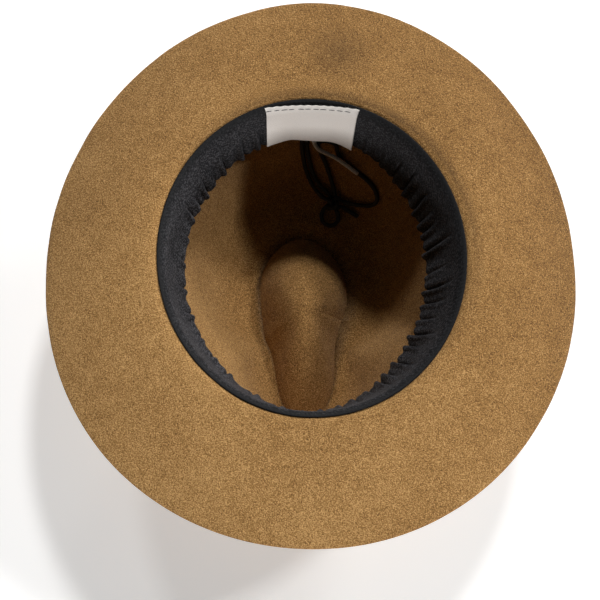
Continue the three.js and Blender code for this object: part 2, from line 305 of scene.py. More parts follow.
# Drawstring: points of each cord, in millimetres in the finished hat
DRAWSTRING = {
    "drawstring_left": [
        (-6, 89.9, 72.9),
        (-6, 89.8, 65),
        (-5.6, 89.5, 55.9),
        (-4.5, 87.8, 45.4),
        (-2.6, 85.3, 33),
        (0.6, 81.7, 22.5),
        (4.6, 77.4, 15),
        (9, 73.4, 11.9),
        (13.7, 70.3, 11.4),
    ],
    "drawstring_right": [
        (-2.6, 89.9, 72.9),
        (-2.6, 89.8, 65),
        (-2.4, 89.7, 55.6),
        (-0.9, 87.9, 45.2),
        (1.4, 85.2, 33.4),
        (4.7, 81.6, 22.9),
        (9, 78, 17.2),
        (13.4, 74.9, 14.5),
        (16.1, 72, 13.2),
    ],
    "drawstring_big_loop": [
        (23.8, 68.6, 13.6),
        (29.6, 66.3, 14.9),
        (37, 63.4, 19.4),
        (43.2, 61.3, 26),
        (45.7, 62.4, 32.6),
        (43.8, 67, 38.2),
        (38.8, 72.6, 41),
        (32.1, 77.6, 42.4),
        (25.3, 81.7, 45.4),
        (19.9, 85, 50),
        (17.2, 86.8, 56),
        (16.6, 87.4, 61.9),
        (14.75, 87.9, 66.2),
        (10.4, 88.5, 68),
        (6.05, 89, 66.2),
        (4.2, 89.3, 61.9),
        (4.7, 89.1, 56),
        (6.8, 88.3, 50),
        (9.6, 86.3, 42.6),
        (12.9, 83.3, 32.9),
        (15.5, 79.5, 24.8),
        (17.9, 75.2, 18.5),
        (18.9, 72, 14.6),
    ],
    "drawstring_small_loop": [
        (14.2, 67.2, 9.4),
        (11.5, 65.1, 7.2),
        (9.9, 61.4, 5.3),
        (10.8, 57.2, 4.2),
        (14.2, 54.2, 4),
        (18.6, 54.3, 4.3),
        (21.6, 57.5, 6),
        (21.4, 61.7, 8.1),
        (19.5, 64.2, 9.6),
    ],
    "drawstring_tail": [(23, 65.7, 11.6), (26, 64.2, 10.8), (30.1, 61.5, 10.7), (34.8, 58.4, 11.5)],
    "drawstring_cut_end": [
        (1.3, 89.9, 72.9),
        (1.2, 89.3, 69),
        (2.2, 87.4, 65),
        (4.8, 85.5, 61.6),
        (8.9, 84.6, 58.9),
        (16, 83.1, 54.5),
        (23.6, 80.1, 49.6),
        (31.7, 75.1, 46.6),
    ],
}
KNOT_MIDDLE = (18.3, 67.6, 12.5)
KNOT_REACH = (5.2, 4.4, 2.9)
KNOT_OPENING = 0.15

# Colours along each material's tone, with their places where there are more than two, and what is mixed in
FELT_COLOURS = [(0.0, (0.107, 0.05, 0.0135)), (0.5, (0.342, 0.177, 0.055)), (1.0, (0.67, 0.402, 0.158))]
# The felt's painted shade colour, mixed in round the break and on a patch of the brim
FELT_PAINTED_SHADE = (0.07, 0.037, 0.016)
RIBBON_COLOURS = [(0.2, (0.0085, 0.0085, 0.0105)), (0.5, (0.0255, 0.025, 0.029)), (0.9, (0.115, 0.112, 0.12))]
# The ribbon's painted shade colour, mixed in towards its far side
RIBBON_PAINTED_SHADE = (0.003, 0.003, 0.004)
# Colour of the ribbon's top edge, partly its darker binding and partly painted shade
RIBBON_EDGE_AND_SHADE_COLOUR = (0.003, 0.003, 0.0035)
SATIN_COLOURS = {"Color1": (0.9, 0.845, 0.795), "Color2": (0.86, 0.805, 0.755), "Mortar": (0.75, 0.7, 0.65)}
SATIN_SOIL = (0.58, 0.52, 0.47)
CORD_COLOURS = ((0.004, 0.004, 0.005), (0.02, 0.02, 0.022))
# The cut end's cord colours, painted a light grey as if lit
CUT_END_PAINTED_LIGHT_COLOURS = ((0.42, 0.41, 0.4), (0.86, 0.85, 0.83))
THREAD_COLOURS = ((0.003, 0.003, 0.004), (0.012, 0.012, 0.014))
FLOOR_COLOURS = [(0.0, (0.86, 0.86, 0.855)), (1.0, (0.9, 0.9, 0.895))]

# Mesh steps; a crowding above 1 brings rows closer to the start, one under 1 to the end
FELT_COLUMNS = 320
BRIM_RINGS = 24
BREAK_RINGS = 8
WALL_RINGS = 30
WALL_FOOT = 0.9
WALL_FOOT_RINGS = 9
DENT_RINGS = 46
DENT_CROWDING = 1.6
BAND_COLUMNS = 1080
BAND_ROWS = 26
BAND_CROWDING = 0.9
LABEL_COLUMNS = 96
LABEL_ROWS = 56
CORD_STEP = 0.7
CORD_SIDES = 14
KNOT_STEPS = 120
PATH_FINENESS = 24
PATH_SMOOTHING = 9
STITCH_RINGS = 6
STITCH_SIDES = 6


def read(table, column, place):
    """A column of a table at places on its first one, on a smooth curve through the rows."""
    key, value = table[:, 0], table[:, column]
    high = np.clip(np.searchsorted(key, place), 1, len(key) - 1)
    low = high - 1
    before, after = np.maximum(low - 1, 0), np.minimum(high + 1, len(key) - 1)
    run = key[high] - key[low]
    share = np.clip((place - key[low]) / run, 0, 1)
    start = (value[high] - value[before]) / (key[high] - key[before]) * run
    end = (value[after] - value[low]) / (key[after] - key[low]) * run
    back = 1 - share
    return (
        value[low] * back**2 * (1 + 2 * share)
        + value[high] * share**2 * (1 + 2 * back)
        + start * share * back**2
        - end * share**2 * back
    )


def smoothstep(place, low, high):
    """0 up to low, 1 from high, and a smooth rise between them."""
    share = np.clip((place - low) / (high - low), 0, 1)
    return share * share * (3 - 2 * share)


def turn_of(angle):
    """An angle in radians as a turn of 0 to 360 degrees."""
    return np.degrees(angle) % 360


def round_angles(count):
    """Evenly spaced angles once round, in radians."""
    return np.arange(count) * 2 * np.pi / count


def unit(vectors):
    """Vectors made one long."""
    return vectors / np.linalg.norm(vectors, axis=-1, keepdims=True)


def lengths_along(line):
    """How far along a line each of its points lies."""
    return np.concatenate([[0], np.cumsum(np.linalg.norm(np.diff(line, axis=0), axis=1))])


def places_along(at, along, line):
    """The points, or normals, of a line at some lengths along it."""
    return np.stack([np.interp(at, along, line[:, k]) for k in range(3)], -1)


def wobble(points, size, seed):
    """Smooth noise of about -1 to 1 whose bumps are about that size, the same for the same seed."""
    rng = np.random.default_rng(seed)
    waves = 14
    ways = rng.normal(size=(waves, 3))
    ways *= (2 * np.pi / size * rng.uniform(0.6, 1.4, waves) / np.linalg.norm(ways, axis=1))[:, None]
    phases = rng.uniform(0, 2 * np.pi, waves)
    return np.cos(points @ ways.T + phases).sum(-1) / math.sqrt(waves)


# ---- Shapes, in millimetres


def on_oval(angle, outward, z):
    """A place on the oval of the crown's wall, moved outward by a distance, at a height."""
    x, y = HALF_LENGTH * np.cos(angle), HALF_WIDTH * np.sin(angle)
    scale = outward / np.hypot(x, y)
    return np.stack(
        [HALF_WIDTH * np.cos(angle) + x * scale, HALF_LENGTH * np.sin(angle) + y * scale, z + 0 * angle], -1
    )


def brim_point(angle, share):
    """The brim's middle, at a share of the way from the break to the edge."""
    width = BRIM_WIDTH * read(BRIM_OUTLINE, 1, turn_of(angle))
    drop = BRIM_DROP_SIDE * np.cos(angle) ** 2 + BRIM_DROP_END * np.sin(angle) ** 2
    outward = BREAK_RADIUS + (width - BREAK_RADIUS) * share
    return on_oval(angle, outward, TOP_OF_FELT - drop * share**BRIM_CURL)


def break_point(angle, share):
    """The round break, at a share of the way from the brim to the crown's wall."""
    turned = share * math.pi / 2
    outward = BREAK_RADIUS * (1 - math.sin(turned))
    return on_oval(angle, outward + 0 * angle, BREAK_FOOT + BREAK_RADIUS * math.cos(turned))


def crest_reach(angle):
    """How far the crown's crest is from the dent's middle."""
    head = np.hypot(HALF_WIDTH * np.cos(angle), HALF_LENGTH * np.sin(angle))
    return head * read(CREST_LINE, 1, turn_of(angle))


def over_dent(angle, share, z):
    """A place at a share of the way from the dent's middle to the crest, at a height."""
    reach = crest_reach(angle) * share
    return np.stack(
        [DENT_ASIDE + reach * np.cos(angle), -DENT_FORWARD + reach * np.sin(angle), z + 0 * angle], -1
    )


def wall_point(angle, depth):
    """The crown's wall with its two front pinches, at a depth of 0 at the break to 1 at the crest."""
    turn = np.abs(turn_of(angle) - FRONT)
    turn = np.minimum(turn, 360 - turn)
    pinch = np.exp(-(((turn - PINCH_TURN) / PINCH_SPREAD) ** 2))
    depth = depth + 0 * angle
    ends, sides, pinched = (read(CROWN_SECTIONS, column, depth) for column in (1, 2, 3))
    plain = ends + (sides - ends) * np.cos(angle) ** 2
    inward = (plain + (pinched - plain) * pinch)[..., None]
    place = on_oval(angle, 0, 0) * (1 - inward) + over_dent(angle, 1, 0) * inward
    place[..., 2] = BREAK_FOOT + (FELT_THICKNESS / 2 - BREAK_FOOT) * depth
    return place


def dent_point(angle, share):
    """The dent, a rounded ridge seen from inside, at a share of the way from its middle to its foot."""
    reach = crest_reach(angle)
    foot = np.minimum(read(CREST_LINE, 2, turn_of(angle)), 1 - CREST_LAND / reach)
    place = over_dent(angle, share * foot, 0)
    forward = np.clip(0.5 - (place[..., 1] + DENT_FORWARD) / HEAD_LENGTH, 0, 1)
    depth = DENT_DEPTH + (DENT_FRONT_DEPTH - DENT_DEPTH) * forward
    place[..., 2] = FELT_THICKNESS / 2 + depth * (1 - share**RIDGE_FULLNESS) ** RIDGE_STEEPNESS
    return place


def flare_reach(depth):
    """How far the felt's inner face is, in plan, from the middle of its bend, at a depth in the mouth."""
    above = np.maximum(MOUTH_RADIUS - depth, 0)
    return np.sqrt(MOUTH_RADIUS**2 - above**2)


def in_mouth(angle, depth, inward):
    """A place on the felt's inner face, at a depth in the crown's mouth, moved inward."""
    flare = BREAK_RADIUS - flare_reach(depth)
    wall_depth = np.maximum(0, (depth - MOUTH_RADIUS) / (BREAK_FOOT - FELT_THICKNESS / 2))
    out = on_oval(angle, 1, 0) - on_oval(angle, 0, 0)
    place = wall_point(angle, wall_depth) + out * (flare - inward)[..., None]
    place[..., 2] = CROWN_HEIGHT - depth
    return place


def band_inset(angle, share):
    """How far the ribbon's middle stands off the felt because of its drawn edge, at a share of its depth."""
    draw = BAND_DRAW * read(BAND_DRAWN, 1, turn_of(angle))
    return BAND_GAP + BAND_SOLID_THICKNESS / 2 + draw * share


def gathers(angle, share):
    """How far the ribbon stands inward because of its tucks: a notch at each, with a roll beside it."""
    turn = turn_of(angle)
    swing = np.zeros_like(turn)
    around = math.radians(1) * (HALF_WIDTH + HALF_LENGTH) / 2
    for place, depth, reach in TUCKS:
        away = ((turn - place + 180) % 360 - 180) * around
        run = smoothstep(share, 1 - TUCK_RUN * reach, TUCK_FULL)
        side = 1 if BACK < place < FRONT else -1
        across = sum(
            height * np.exp(-(((away - side * middle) / spread) ** 2))
            for height, middle, spread in TUCK_PROFILE
        )
        swing += depth * run * across
    return swing


def band_point(angle, share):
    """The ribbon's middle, at a share of its depth."""
    inward = band_inset(angle, share) + gathers(angle, share)
    place = in_mouth(angle, BAND_TOP + BAND_DEPTH * share, inward)
    loose = smoothstep(share, 0.1, 0.9)[..., None]
    waves = np.stack([wobble(place, size, seed) for size, seed in BAND_WAVES], -1)
    place[..., :2] += BAND_WAVE_HEIGHT * loose * waves
    return place


def label_point(across, down):
    """The label's middle, at a place across it from -0.5 to 0.5 and a share of the way down it."""
    depth = LABEL_TOP + down * LABEL_HEIGHT - LABEL_CORNERS * (2 * across) ** 2
    share = np.clip((depth - BAND_TOP) / BAND_DEPTH, 0, 1)
    free = read(LABEL_FOOT, 1, across) * smoothstep(down, LABEL_HELD, 1)
    stitch = np.cos(across * LABEL_WIDTH / LABEL_STITCH_PITCH * 2 * np.pi)
    pucker = LABEL_PUCKER * stitch * np.exp(-((down / LABEL_PUCKER_DOWN) ** 2))
    apart = (BAND_THICKNESS + LABEL_THICKNESS) / 2 + LABEL_GAP
    straight = LABEL_STRAIGHT * (1 - (2 * across) ** 2)
    clear = apart * MOUTH_RADIUS / flare_reach(depth) + LABEL_LEAN * share + free + pucker + straight
    back = math.pi / 2
    radius = HALF_WIDTH - band_inset(back, share) - clear
    angle = back - across * LABEL_WIDTH / radius
    return in_mouth(angle, depth, band_inset(angle, share) + clear)


# The brim isn't quite even, so the hat is moved until the middle of its brim is over the origin.
OUTLINE = brim_point(round_angles(60), 1)
SHIFT = np.array([*(-(OUTLINE.min(0) + OUTLINE.max(0)) / 2)[:2], 0])


# ---- Meshes


def mesh_piece(name, points, faces, uvs=None):
    """A smooth mesh of points in millimetres, with a UV map in metres if uvs gives one for each corner."""
    mesh = bpy.data.meshes.new(name)
    mesh.from_pydata([tuple(p) for p in np.asarray(points) * MM], [], faces)
    mesh.polygons.foreach_set("use_smooth", [True] * len(mesh.polygons))
    if uvs is not None:
        layer = mesh.uv_layers.new(name="cloth")
        layer.data.foreach_set("uv", np.asarray(uvs, float).ravel())
    mesh.update()
    made = bpy.data.objects.new(name, mesh)
    bpy.context.scene.collection.objects.link(made)
    return made


def grid(rows, columns, around):
    """Quads of a grid whose rows close on themselves, and whose columns do if around is set."""
    spans = columns if around else columns - 1
    row, column = np.meshgrid(np.arange(rows), np.arange(spans), indexing="ij")
    next_row, next_column = (row + 1) % rows, (column + 1) % columns
    corners = [
        row * columns + column,
        row * columns + next_column,
        next_row * columns + next_column,
        next_row * columns + column,
    ]
    return np.stack(corners, -1).reshape(-1, 4)


def tube_faces(rings, sides, first=0):
    """Faces of a tube with closed ends, whose points are numbered ring by ring from the first."""
    faces = []
    for ring in range(rings - 1):
        for k in range(sides):
            a, b = first + ring * sides + k, first + ring * sides + (k + 1) % sides
            faces.append((a, b, b + sides, a + sides))
    faces.append(tuple(first + k for k in range(sides))[::-1])
    faces.append(tuple(first + (rings - 1) * sides + k for k in range(sides)))
    return faces


def end_caps(layers, columns):
    """Faces that close a sheet's skin at its first and last column; layers counts one side's rows."""
    caps = [[row, row + 1, 2 * layers - row - 1, 2 * layers - row] for row in range(layers - 1)]
    caps += [[layers - 1, layers, layers + 1], [0, 2 * layers, 2 * layers + 1]]
    first = [[row * columns for row in cap[::-1]] for cap in caps]
    last = [[row * columns + columns - 1 for row in cap] for cap in caps]
    return first + last


def normals_of(middle, around):
    """Unit normals of a grid of points, rows by columns."""
    if around:
        along = np.roll(middle, -1, 1) - np.roll(middle, 1, 1)
    else:
        along = np.gradient(middle, axis=1)
    return unit(np.cross(along, np.gradient(middle, axis=0)))


def sheet_rows(middle, half, around):
    """The grid of a sheet's skin: front, rounded last edge, back and rounded first edge."""
    normal = normals_of(middle, around)
    half = np.broadcast_to(half, middle.shape[:2])[..., None]
    front, back = middle + normal * half, middle - normal * half

    def edge(row, inside):
        return middle[row] + unit(middle[row] - middle[inside]) * half[row] * SHEET_EDGE

    return np.concatenate([front, edge(-1, -2)[None], back[::-1], edge(0, 1)[None]])


def sheet_uvs(faces, rows, columns, width, length, around):
    """UV of each face corner of a sheet's skin, in metres along its columns and down its rows."""
    layers = (rows - 2) // 2
    row, column = faces // columns, faces % columns
    if around:
        wrapped = (column == 0) & (column.max(1, keepdims=True) == columns - 1)
        column = np.where(wrapped, columns, column)
    down = np.where(row <= layers, np.minimum(row, layers - 1), np.maximum(2 * layers - row, 0))
    spans = columns if around else columns - 1
    return np.stack([column / spans * length * MM, down / (layers - 1) * width * MM], -1).reshape(-1, 2)


def felt_middle():
    """Rings of the felt's middle, from the brim's edge to the dent's middle."""
    angle = round_angles(FELT_COLUMNS)
    rings = [brim_point(angle, share) for share in np.linspace(1, 0, BRIM_RINGS)]
    rings += [break_point(angle, share) for share in np.linspace(0, 1, BREAK_RINGS)[1:]]
    rings += [wall_point(angle, depth) for depth in np.linspace(0, WALL_FOOT, WALL_RINGS)[1:]]
    rings += [wall_point(angle, depth) for depth in np.linspace(WALL_FOOT, 1, WALL_FOOT_RINGS)[1:]]
    rings += [dent_point(angle, share) for share in 1 - np.linspace(0, 1, DENT_RINGS)[:-1] ** DENT_CROWDING]
    return np.stack(rings)


def felt_body():
    """The felt, one closed skin, with the slight unevenness of a blocked hat."""
    middle = felt_middle()
    uneven = sum(height * wobble(middle, size, seed) for height, size, seed in UNEVENNESS)
    steady = smoothstep(middle[..., 2], *EVEN_BELOW)
    middle = middle + normals_of(middle, True) * (uneven * steady)[..., None]
    half = FELT_THICKNESS / 2
    normal = normals_of(middle, True)
    front, back = middle + normal * half, middle - normal * half

    way = unit(middle[0] - middle[1]) * half * BRIM_EDGE
    edge = [back[0] + way * reach + (front[0] - back[0]) * across for reach, across in BRIM_EDGE_STEPS]
    edge += [
        front[0] + way * reach + (back[0] - front[0]) * across for reach, across in BRIM_EDGE_STEPS[::-1]
    ]
    skin = np.concatenate([back[::-1], np.stack(edge), front])

    columns = FELT_COLUMNS
    last = (len(skin) - 1) * columns
    faces = grid(len(skin), columns, True)[:last].tolist()
    points = skin.reshape(-1, 3)
    pole = len(points)
    points = np.concatenate([points, [back[-1].mean(0), front[-1].mean(0)]])
    for column in range(columns):
        after = (column + 1) % columns
        faces.append((pole, after, column))
        faces.append((pole + 1, last + column, last + after))
    return mesh_piece("felt_hat_body", points + SHIFT, faces)


def sweatband():
    """The ribbon, gathered along its deep edge, where it is folded over the drawstring, and its middle."""
    angle = round_angles(BAND_COLUMNS)
    shares = np.linspace(0, 1, BAND_ROWS) ** BAND_CROWDING
    middle = np.stack([band_point(angle, share + 0 * angle) for share in shares])
    hem = smoothstep(shares, *BAND_HEM)[:, None]
    skin = sheet_rows(middle, BAND_THICKNESS / 2 + BAND_HEM_FULLNESS * hem, True)
    faces = grid(len(skin), BAND_COLUMNS, True)
    round_length = np.linalg.norm(np.roll(middle[0], -1, 0) - middle[0], axis=1).sum()
    uvs = sheet_uvs(faces, len(skin), BAND_COLUMNS, BAND_DEPTH, round_length, True)
    return mesh_piece("ribbon_sweatband", skin.reshape(-1, 3) + SHIFT, faces.tolist(), uvs), middle


def label_tag():
    """The label, a thin satin tag with a folded foot, and its middle."""
    across, down = np.meshgrid(
        np.linspace(-0.5, 0.5, LABEL_COLUMNS), np.linspace(0, 1, LABEL_ROWS), indexing="xy"
    )
    middle = label_point(across, down)
    hem = smoothstep(down, *LABEL_HEM)
    skin = sheet_rows(middle, LABEL_THICKNESS / 2 + LABEL_HEM_FULLNESS * hem, False)
    rows, columns = skin.shape[:2]
    faces = grid(rows, columns, False)
    uvs = sheet_uvs(faces, rows, columns, LABEL_HEIGHT, LABEL_WIDTH, False)
    caps = end_caps(LABEL_ROWS, columns)
    uvs = np.concatenate([uvs, np.zeros((sum(len(cap) for cap in caps), 2))])
    return mesh_piece("blank_label", skin.reshape(-1, 3) + SHIFT, faces.tolist() + caps, uvs), middle


def stitches(name, line, outward, pitch, length, thickness):
    """Running stitches along a line on a cloth: each a short thread that dips in at both its ends."""
    along = lengths_along(line)
    rng = np.random.default_rng(11)
    shares = np.linspace(0, 1, STITCH_RINGS)
    turns = np.linspace(0, 2 * np.pi, STITCH_SIDES + 1)[:-1]
    arch = np.sin(np.pi * shares)
    wide = thickness / 2 * (0.45 + 0.55 * arch**0.5)
    points, faces = [], []
    for start in np.arange(0, along[-1] - length, pitch):
        start = start + rng.uniform(-0.12, 0.12) * pitch
        at = start + shares * length * rng.uniform(0.85, 1.1)
        centre = places_along(at, along, line)
        up = unit(places_along(at, along, outward))
        side = unit(np.cross(np.gradient(centre, axis=0), up))
        centre = centre + up * (thickness * (0.75 * arch - 0.35))[:, None]
        faces.extend(tube_faces(STITCH_RINGS, STITCH_SIDES, len(points)))
        for ring in range(STITCH_RINGS):
            for turn in turns:
                way = side[ring] * math.cos(turn) + up[ring] * math.sin(turn)
                points.append(centre[ring] + wide[ring] * way)
    return mesh_piece(name, np.array(points) + SHIFT, faces)


def inner_row(middle, row, around):
    """A row of a sheet's middle and its normals, turned towards the axis of the crown."""
    line, normal = middle[row], -normals_of(middle, around)[row]
    normal = normal * np.sign((-line * normal)[:, :2].sum(1)).mean()
    if around:
        line, normal = np.concatenate([line, line[:1]]), np.concatenate([normal, normal[:1]])
    return line, normal


def smooth_path(points, step):
    """A centripetal Catmull-Rom curve through points, its bends evened out, a step apart, and its length."""
    points = np.array(points, float)
    ends = [2 * points[0] - points[1], *points, 2 * points[-1] - points[-2]]
    fine = []
    for p0, p1, p2, p3 in zip(ends, ends[1:], ends[2:], ends[3:]):
        t1 = np.linalg.norm(p1 - p0) ** 0.5
        t2 = t1 + np.linalg.norm(p2 - p1) ** 0.5
        t3 = t2 + np.linalg.norm(p3 - p2) ** 0.5
        for t in np.linspace(t1, t2, PATH_FINENESS + 1)[:-1]:
            a1 = (t1 - t) / t1 * p0 + t / t1 * p1
            a2 = (t2 - t) / (t2 - t1) * p1 + (t - t1) / (t2 - t1) * p2
            a3 = (t3 - t) / (t3 - t2) * p2 + (t - t2) / (t3 - t2) * p3
            b1 = (t2 - t) / t2 * a1 + t / t2 * a2
            b2 = (t3 - t) / (t3 - t1) * a2 + (t - t1) / (t3 - t1) * a3
            fine.append((t2 - t) / (t2 - t1) * b1 + (t - t1) / (t2 - t1) * b2)
    path = np.array([*fine, points[-1]])
    for _ in range(PATH_SMOOTHING):
        along = lengths_along(path)
        path = places_along(np.linspace(0, along[-1], max(int(along[-1] / step), 6) + 1), along, path)
        path[1:-1] = (path[:-2] + 2 * path[1:-1] + path[2:]) / 4
    return path, np.linalg.norm(np.diff(path, axis=0), axis=1).sum()


def cord_tube(name, path):
    """A braided cord along a path, its ends a little rounded."""
    count = len(path)
    way = unit(np.gradient(path, axis=0))
    side = unit(np.cross(way[0], (0.3, 0.2, 0.93)))
    turns = round_angles(CORD_SIDES)
    points, along = [], 0.0
    for k in range(count):
        side = side - way[k] * (side @ way[k])
        side /= np.linalg.norm(side)
        other = np.cross(way[k], side)
        if k:
            along += np.linalg.norm(path[k] - path[k - 1])
        twist = along * BRAID_TWIST
        strands = np.cos(3 * turns + twist) * np.cos(3 * turns - twist)
        taper = CORD_TAPER[min(k, count - 1 - k, len(CORD_TAPER) - 1)]
        wide = CORD_DIAMETER / 2 * taper * (1 + BRAID_HEIGHT * strands)
        out = np.cos(turns)[:, None] * side + np.sin(turns)[:, None] * other
        points.extend(path[k] + wide[:, None] * out)
    return mesh_piece(name, points, tube_faces(count, CORD_SIDES))


def knot_path():
    """An overhand knot, a trefoil left open where it begins."""
    turns = np.linspace(KNOT_OPENING, 2 * np.pi - KNOT_OPENING, KNOT_STEPS)
    reach = (2 + np.cos(3 * turns)) / 3
    strands = [reach * np.cos(2 * turns), reach * np.sin(2 * turns), np.sin(3 * turns)]
    return np.stack(strands, -1) * KNOT_REACH + KNOT_MIDDLE


# ---- Materials


class Nodes:
    """A material's node tree, with short calls for the nodes used here."""

    def __init__(self, name, **sockets):
        self.material = bpy.data.materials.new(name)
        self.material.use_nodes = True
        self.tree = self.material.node_tree
        self.shader = self.tree.nodes["Principled BSDF"]
        for key, value in sockets.items():
            self.shader.inputs[key.replace("_", " ")].default_value = value

    def add(self, kind, **settings):
        made = self.tree.nodes.new(kind)
        for key, value in settings.items():
            setattr(made, key, value)
        return made

    def link(self, source, target):
        self.tree.links.new(source, target)

    def coordinates(self, kind, stretch=(1, 1, 1)):
        mapping = self.add("ShaderNodeMapping")
        mapping.inputs["Scale"].default_value = stretch
        self.link(self.add("ShaderNodeTexCoord").outputs[kind], mapping.inputs["Vector"])
        return mapping.outputs["Vector"]

    def texture(self, kind, vector, values, **settings):
        """A texture node on a vector, with the values of its sockets by name."""
        made = self.add(kind, **settings)
        self.link(vector, made.inputs["Vector"])
        for key, value in values.items():
            made.inputs[key].default_value = value
        return made

    def noise(self, vector, scale, detail=2.0, roughness=0.5, distortion=0.0):
        values = {"Scale": scale, "Detail": detail, "Roughness": roughness, "Distortion": distortion}
        return self.texture("ShaderNodeTexNoise", vector, values).outputs["Fac"]

    def math(self, operation, *values):
        made = self.add("ShaderNodeMath", operation=operation)
        for socket, value in zip(made.inputs, values):
            if isinstance(value, (int, float)):
                socket.default_value = value
            else:
                self.link(value, socket)
        return made.outputs[0]

    def line(self, value, slope, start):
        """A value times a slope, plus a start."""
        return self.math("MULTIPLY_ADD", value, slope, start)

    def vector(self, operation, a, b=None):
        """A number from vectors: a length, a distance or a dot product."""
        made = self.add("ShaderNodeVectorMath", operation=operation)
        self.link(a, made.inputs[0])
        if b is not None:
            made.inputs[1].default_value = b
        return made.outputs["Value"]

    def along(self, vector, way):
        """How far a place lies along a way."""
        return self.vector("DOT_PRODUCT", vector, way)

    def clamp(self, value):
        made = self.add("ShaderNodeClamp")
        self.link(value, made.inputs["Value"])
        return made.outputs[0]

    def ramp(self, value, stops):
        """Colours along a value; stops are places from 0 to 1 and colours, in order."""
        made = self.add("ShaderNodeValToRGB")
        elements = made.color_ramp.elements
        for element, (place, colour) in zip(elements, (stops[0], stops[-1])):
            element.position, element.color = place, (*colour, 1)
        for place, colour in stops[1:-1]:
            elements.new(place).color = (*colour, 1)
        self.link(value, made.inputs["Fac"])
        return made.outputs["Color"]

    def hump(self, value, middle, before, after):
        """1 at the middle, falling off to 0 at that far before and after it."""
        rise = self.math("DIVIDE", self.math("SUBTRACT", value, middle - before), before)
        fall = self.math("DIVIDE", self.math("SUBTRACT", middle + after, value), after)
        return self.clamp(self.math("MINIMUM", rise, fall))

    def mix(self, factor, a, b):
        """Colour a turned towards colour b by a factor."""
        made = self.add("ShaderNodeMix", data_type="RGBA")
        for socket, value in zip((made.inputs["Factor"], made.inputs[6], made.inputs[7]), (factor, a, b)):
            if isinstance(value, tuple):
                socket.default_value = (*value, 1)
            else:
                self.link(value, socket)
        return made.outputs[2]

    def colour(self, value):
        self.link(value, self.shader.inputs["Base Color"])

    def rough(self, value):
        self.link(value, self.shader.inputs["Roughness"])

    def relief(self, height, distance, strength):
        """Bumps of a height field, so many metres deep at full strength."""
        made = self.add("ShaderNodeBump")
        made.inputs["Strength"].default_value = strength
        made.inputs["Distance"].default_value = distance
        self.link(height, made.inputs["Height"])
        self.link(made.outputs["Normal"], self.shader.inputs["Normal"])


def felt_material():
    """Wool felt: fine fibres and grain, soft mottling, painted lighter on one side, with painted shade low in
    the crown, round the ribbon and on a patch of the brim.
    """
    nodes = Nodes("felt", Sheen_Weight=0.12, Sheen_Roughness=0.5, Sheen_Tint=(1, 0.86, 0.66, 1))
    nodes.shader.inputs["Specular IOR Level"].default_value = 0.15
    place = nodes.coordinates("Object")
    fibre = nodes.noise(place, scale=1500, detail=2, roughness=0.7)
    grain = nodes.noise(place, scale=620, detail=3, roughness=0.65, distortion=0.4)
    mottle = nodes.noise(place, scale=120, detail=3, roughness=0.6)
    cloud = nodes.noise(place, scale=22, detail=2, roughness=0.5)
    tone = nodes.line(fibre, 2.5, nodes.line(grain, 0.55, -1.52))
    tone = nodes.math("ADD", tone, nodes.line(mottle, 0.3, -0.15))
    tone = nodes.math("ADD", tone, nodes.line(cloud, 0.28, 0.36))
    # Painted light: the felt is made lighter towards one side.
    tone = nodes.line(nodes.along(place, PAINTED_LIGHT_WAY), PAINTED_LIGHT_STRENGTH, tone)
    # Painted shade: the felt is made darker low in the crown, reaching higher on its +X side.
    painted_lighting = nodes.clamp(nodes.line(nodes.along(place, DEEP_SHADE_WAY), -1 / DEEP_SHADE_RUN, DEEP_SHADE_UNDER / DEEP_SHADE_RUN))
    tone = nodes.line(painted_lighting, -DEEP_SHADE_STRENGTH, tone)

    # Painted shade round the break on one side, broken up by the mottling, and a patch of painted shade on
    # the brim.
    ring = nodes.vector("LENGTH", nodes.coordinates("Object", (1 / BREAK_WIDE, 1 / BREAK_LONG, 0)))
    behind = nodes.line(nodes.along(place, PAINTED_SHADE_WAY), 9, 0.1)
    painted_shade = nodes.math(
        "MULTIPLY", nodes.hump(ring, *PAINTED_BREAK_SHADE_RING), nodes.clamp(nodes.math("MULTIPLY", behind, mottle))
    )
    away = nodes.vector("DISTANCE", place, PAINTED_SHADE_PATCH)
    shade_patch = nodes.clamp(nodes.line(away, -1 / PAINTED_SHADE_PATCH_REACH, 1.0))
    painted_shade = nodes.math("ADD", nodes.math("MULTIPLY", painted_shade, 1.2), nodes.math("MULTIPLY", shade_patch, 0.5))
    painted_shade = nodes.clamp(nodes.math("MULTIPLY", painted_shade, 0.9))

    nodes.colour(nodes.mix(painted_shade, nodes.ramp(tone, FELT_COLOURS), FELT_PAINTED_SHADE))
    nodes.rough(nodes.line(grain, 0.12, 0.88))
    nodes.relief(nodes.math("ADD", nodes.math("MULTIPLY", fibre, 0.7), grain), 0.0011, 0.7)
    return nodes.material


